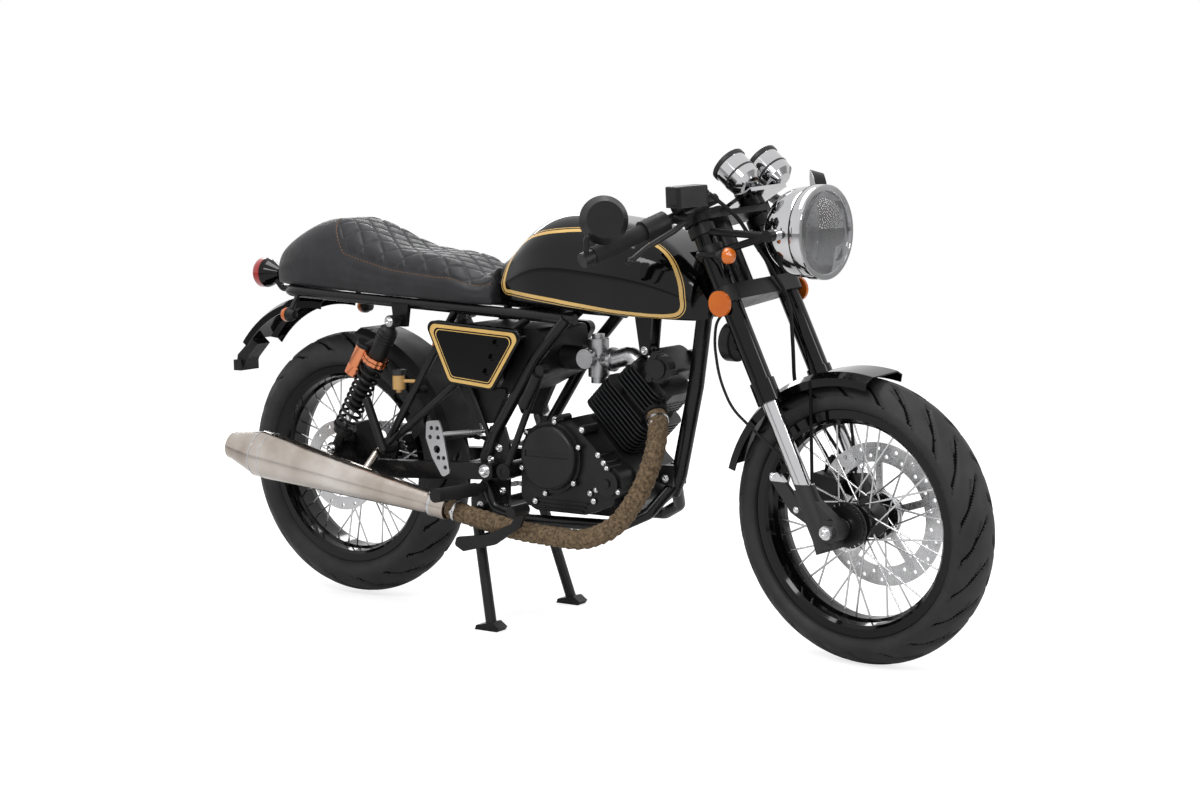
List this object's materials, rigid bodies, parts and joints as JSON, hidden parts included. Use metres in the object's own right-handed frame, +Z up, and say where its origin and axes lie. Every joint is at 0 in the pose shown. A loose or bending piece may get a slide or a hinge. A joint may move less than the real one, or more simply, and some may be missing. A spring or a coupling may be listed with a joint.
{
  "type": "cafe racer motorcycle",
  "caption": "Light cafe racer motorcycle with a humped quilted seat, drop clip-on bars, round headlight, wrapped exhaust and wire wheels, standing on its centre stand.",
  "frame": {"origin": "on the floor, under the middle of the motorcycle's length and width, parked on its centre stand", "axes": "+X forward, +Y to the rider's left, +Z up"},
  "size_m": [1.9851, 0.794, 1.0393],
  "materials": {
    "gloss_black_paint": "gloss",
    "frame_paint": "satin",
    "engine_black": "satin",
    "engine_alloy": "satin",
    "fork_black": "satin",
    "cable_rubber": "satin",
    "fluid_plastic": "gloss",
    "polished_chrome": "polished",
    "axle_steel": "satin",
    "disc_steel": "brushed",
    "caliper_paint": "satin",
    "rim_paint": "gloss",
    "tyre_rubber": "matte",
    "heat_wrap": "woven",
    "stainless": "brushed",
    "shock_paint": "gloss",
    "seat_leather": "satin",
    "black_plastic": "matte",
    "grip_rubber": "matte",
    "signal_plastic": "gloss",
    "reflector_amber": "gloss",
    "lens_glass": "clear"
  },
  "bodies": {
    "frame": {"airbox": "black_plastic", "brake_fluid_cup": "fluid_plastic", "brake_pedal": "frame_paint", "carburettor": "engine_alloy", "cylinder_barrel": "engine_black", "cylinder_head": "engine_black", "drive_chain": "disc_steel", "engine_crankcase": "engine_black", "exhaust_header": "heat_wrap", "filler_cap": "polished_chrome", "fuel_tank": "gloss_black_paint", "gear_lever": "frame_paint", "heel_guards": "engine_alloy", "inner_mudguard": "black_plastic", "kick_starter": "engine_alloy", "main_frame": "frame_paint", "muffler": "stainless", "number_plate_carrier": "frame_paint", "passenger_pegs": "cable_rubber", "rear_axle": "axle_steel", "rear_brake_caliper": "caliper_paint", "rear_fender": "fork_black", "rear_signals": "signal_plastic", "rider_pegs": "fork_black", "seat": "seat_leather", "shock_absorbers": "shock_paint", "side_covers": "gloss_black_paint", "swingarm": "frame_paint", "tail_light": "black_plastic"},
    "steering": {"bar_end_mirrors": "black_plastic", "brake_master_cylinder": "fork_black", "fork_sliders": "fork_black", "fork_tubes": "fork_black", "fork_yokes": "engine_alloy", "front_axle": "axle_steel", "front_brake_caliper": "caliper_paint", "front_cables": "cable_rubber", "front_fender": "fork_black", "front_reflectors": "reflector_amber", "front_signals": "signal_plastic", "hand_grips": "grip_rubber", "hand_levers": "fork_black", "handlebars": "engine_alloy", "headlight_brackets": "frame_paint", "headlight_lens": "lens_glass", "headlight_shell": "polished_chrome", "horn": "frame_paint", "instruments": "polished_chrome", "switch_housings": "black_plastic"},
    "front_wheel": {"front_tyre": "tyre_rubber", "front_rim": "rim_paint", "front_hub_and_spokes": "axle_steel", "front_brake_disc": "disc_steel"},
    "rear_wheel": {"rear_tyre": "tyre_rubber", "rear_rim": "rim_paint", "rear_hub_and_spokes": "axle_steel", "rear_brake_disc": "disc_steel", "rear_sprocket": "disc_steel"},
    "centre_stand": {"centre_stand": "frame_paint"}
  },
  "joints": [
    {"name": "steering_head", "type": "hinge", "parent": "frame", "child": "steering", "pos_m": [0.44512, 0, 0.70366], "axis": [-0.4147, 0, 0.91], "range_deg": [-28, 42]},
    {"name": "front_wheel_axle", "type": "hinge", "parent": "steering", "child": "front_wheel", "pos_m": [0.70107, -0.00768, 0.2928], "axis": [0.1109, 0.9925, 0.0505], "continuous": true},
    {"name": "rear_wheel_axle", "type": "hinge", "parent": "frame", "child": "rear_wheel", "pos_m": [-0.6185, 0, 0.315], "axis": [0, 1, 0], "continuous": true},
    {"name": "centre_stand_pivot", "type": "hinge", "parent": "frame", "child": "centre_stand", "pos_m": [-0.1885, 0, 0.255], "axis": [0, 1, 0], "range_deg": [0, 78]}
  ]
}
